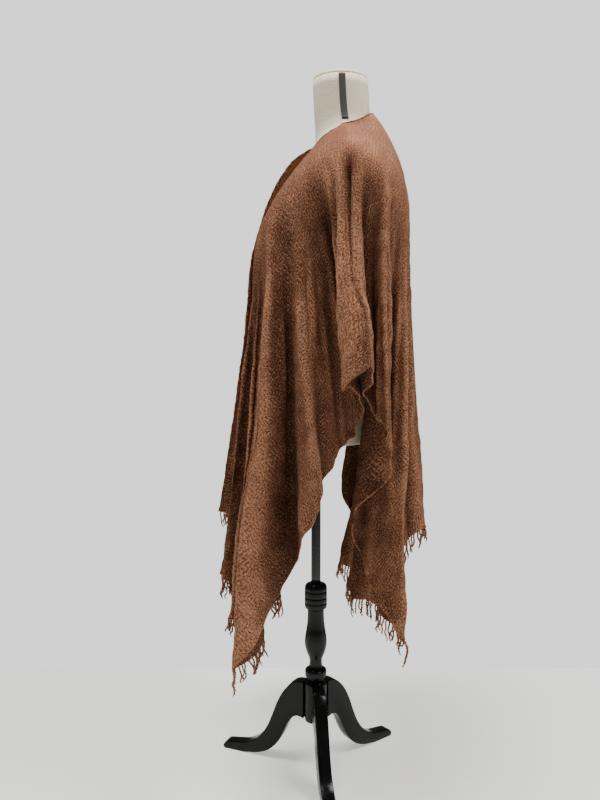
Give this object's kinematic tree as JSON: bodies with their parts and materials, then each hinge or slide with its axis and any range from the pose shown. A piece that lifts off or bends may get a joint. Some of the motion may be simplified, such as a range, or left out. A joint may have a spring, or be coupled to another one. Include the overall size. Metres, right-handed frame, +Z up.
{
  "type": "fringed ruana wrap on a limbless dress form with a turned tripod stand",
  "caption": "Open-front woven wrap with fringed hems, draped in deep folds over a limbless dress form that stands on a turned column and tripod.",
  "frame": {"origin": "on the floor, at the middle of the whole thing's plan", "axes": "+Z up; the wearer faces -Y; the wearer's left is +X"},
  "size_m": [0.5589, 0.4167, 1.392],
  "materials": {
    "heather_wool": "brushed, heathered, matt",
    "linen": "plain weave, matt",
    "black_tape": "woven tape, matt",
    "black_steel": "satin black paint",
    "black_lacquer": "gloss black lacquer"
  },
  "bodies": {
    "root": {"wrap_left_panel": "heather_wool", "wrap_right_panel": "heather_wool", "fringe_front_left": "heather_wool", "fringe_back_left": "heather_wool", "fringe_front_right": "heather_wool", "fringe_back_right": "heather_wool", "form_torso": "linen", "form_neck_cap": "linen", "form_tape_left": "black_tape", "form_tape_right": "black_tape", "stand_pole": "black_steel", "stand_collar": "black_lacquer", "stand_column": "black_lacquer", "stand_ring": "black_lacquer", "stand_hub": "black_lacquer", "stand_leg_left": "black_lacquer", "stand_leg_back": "black_lacquer", "stand_leg_front": "black_lacquer"}
  },
  "joints": []
}
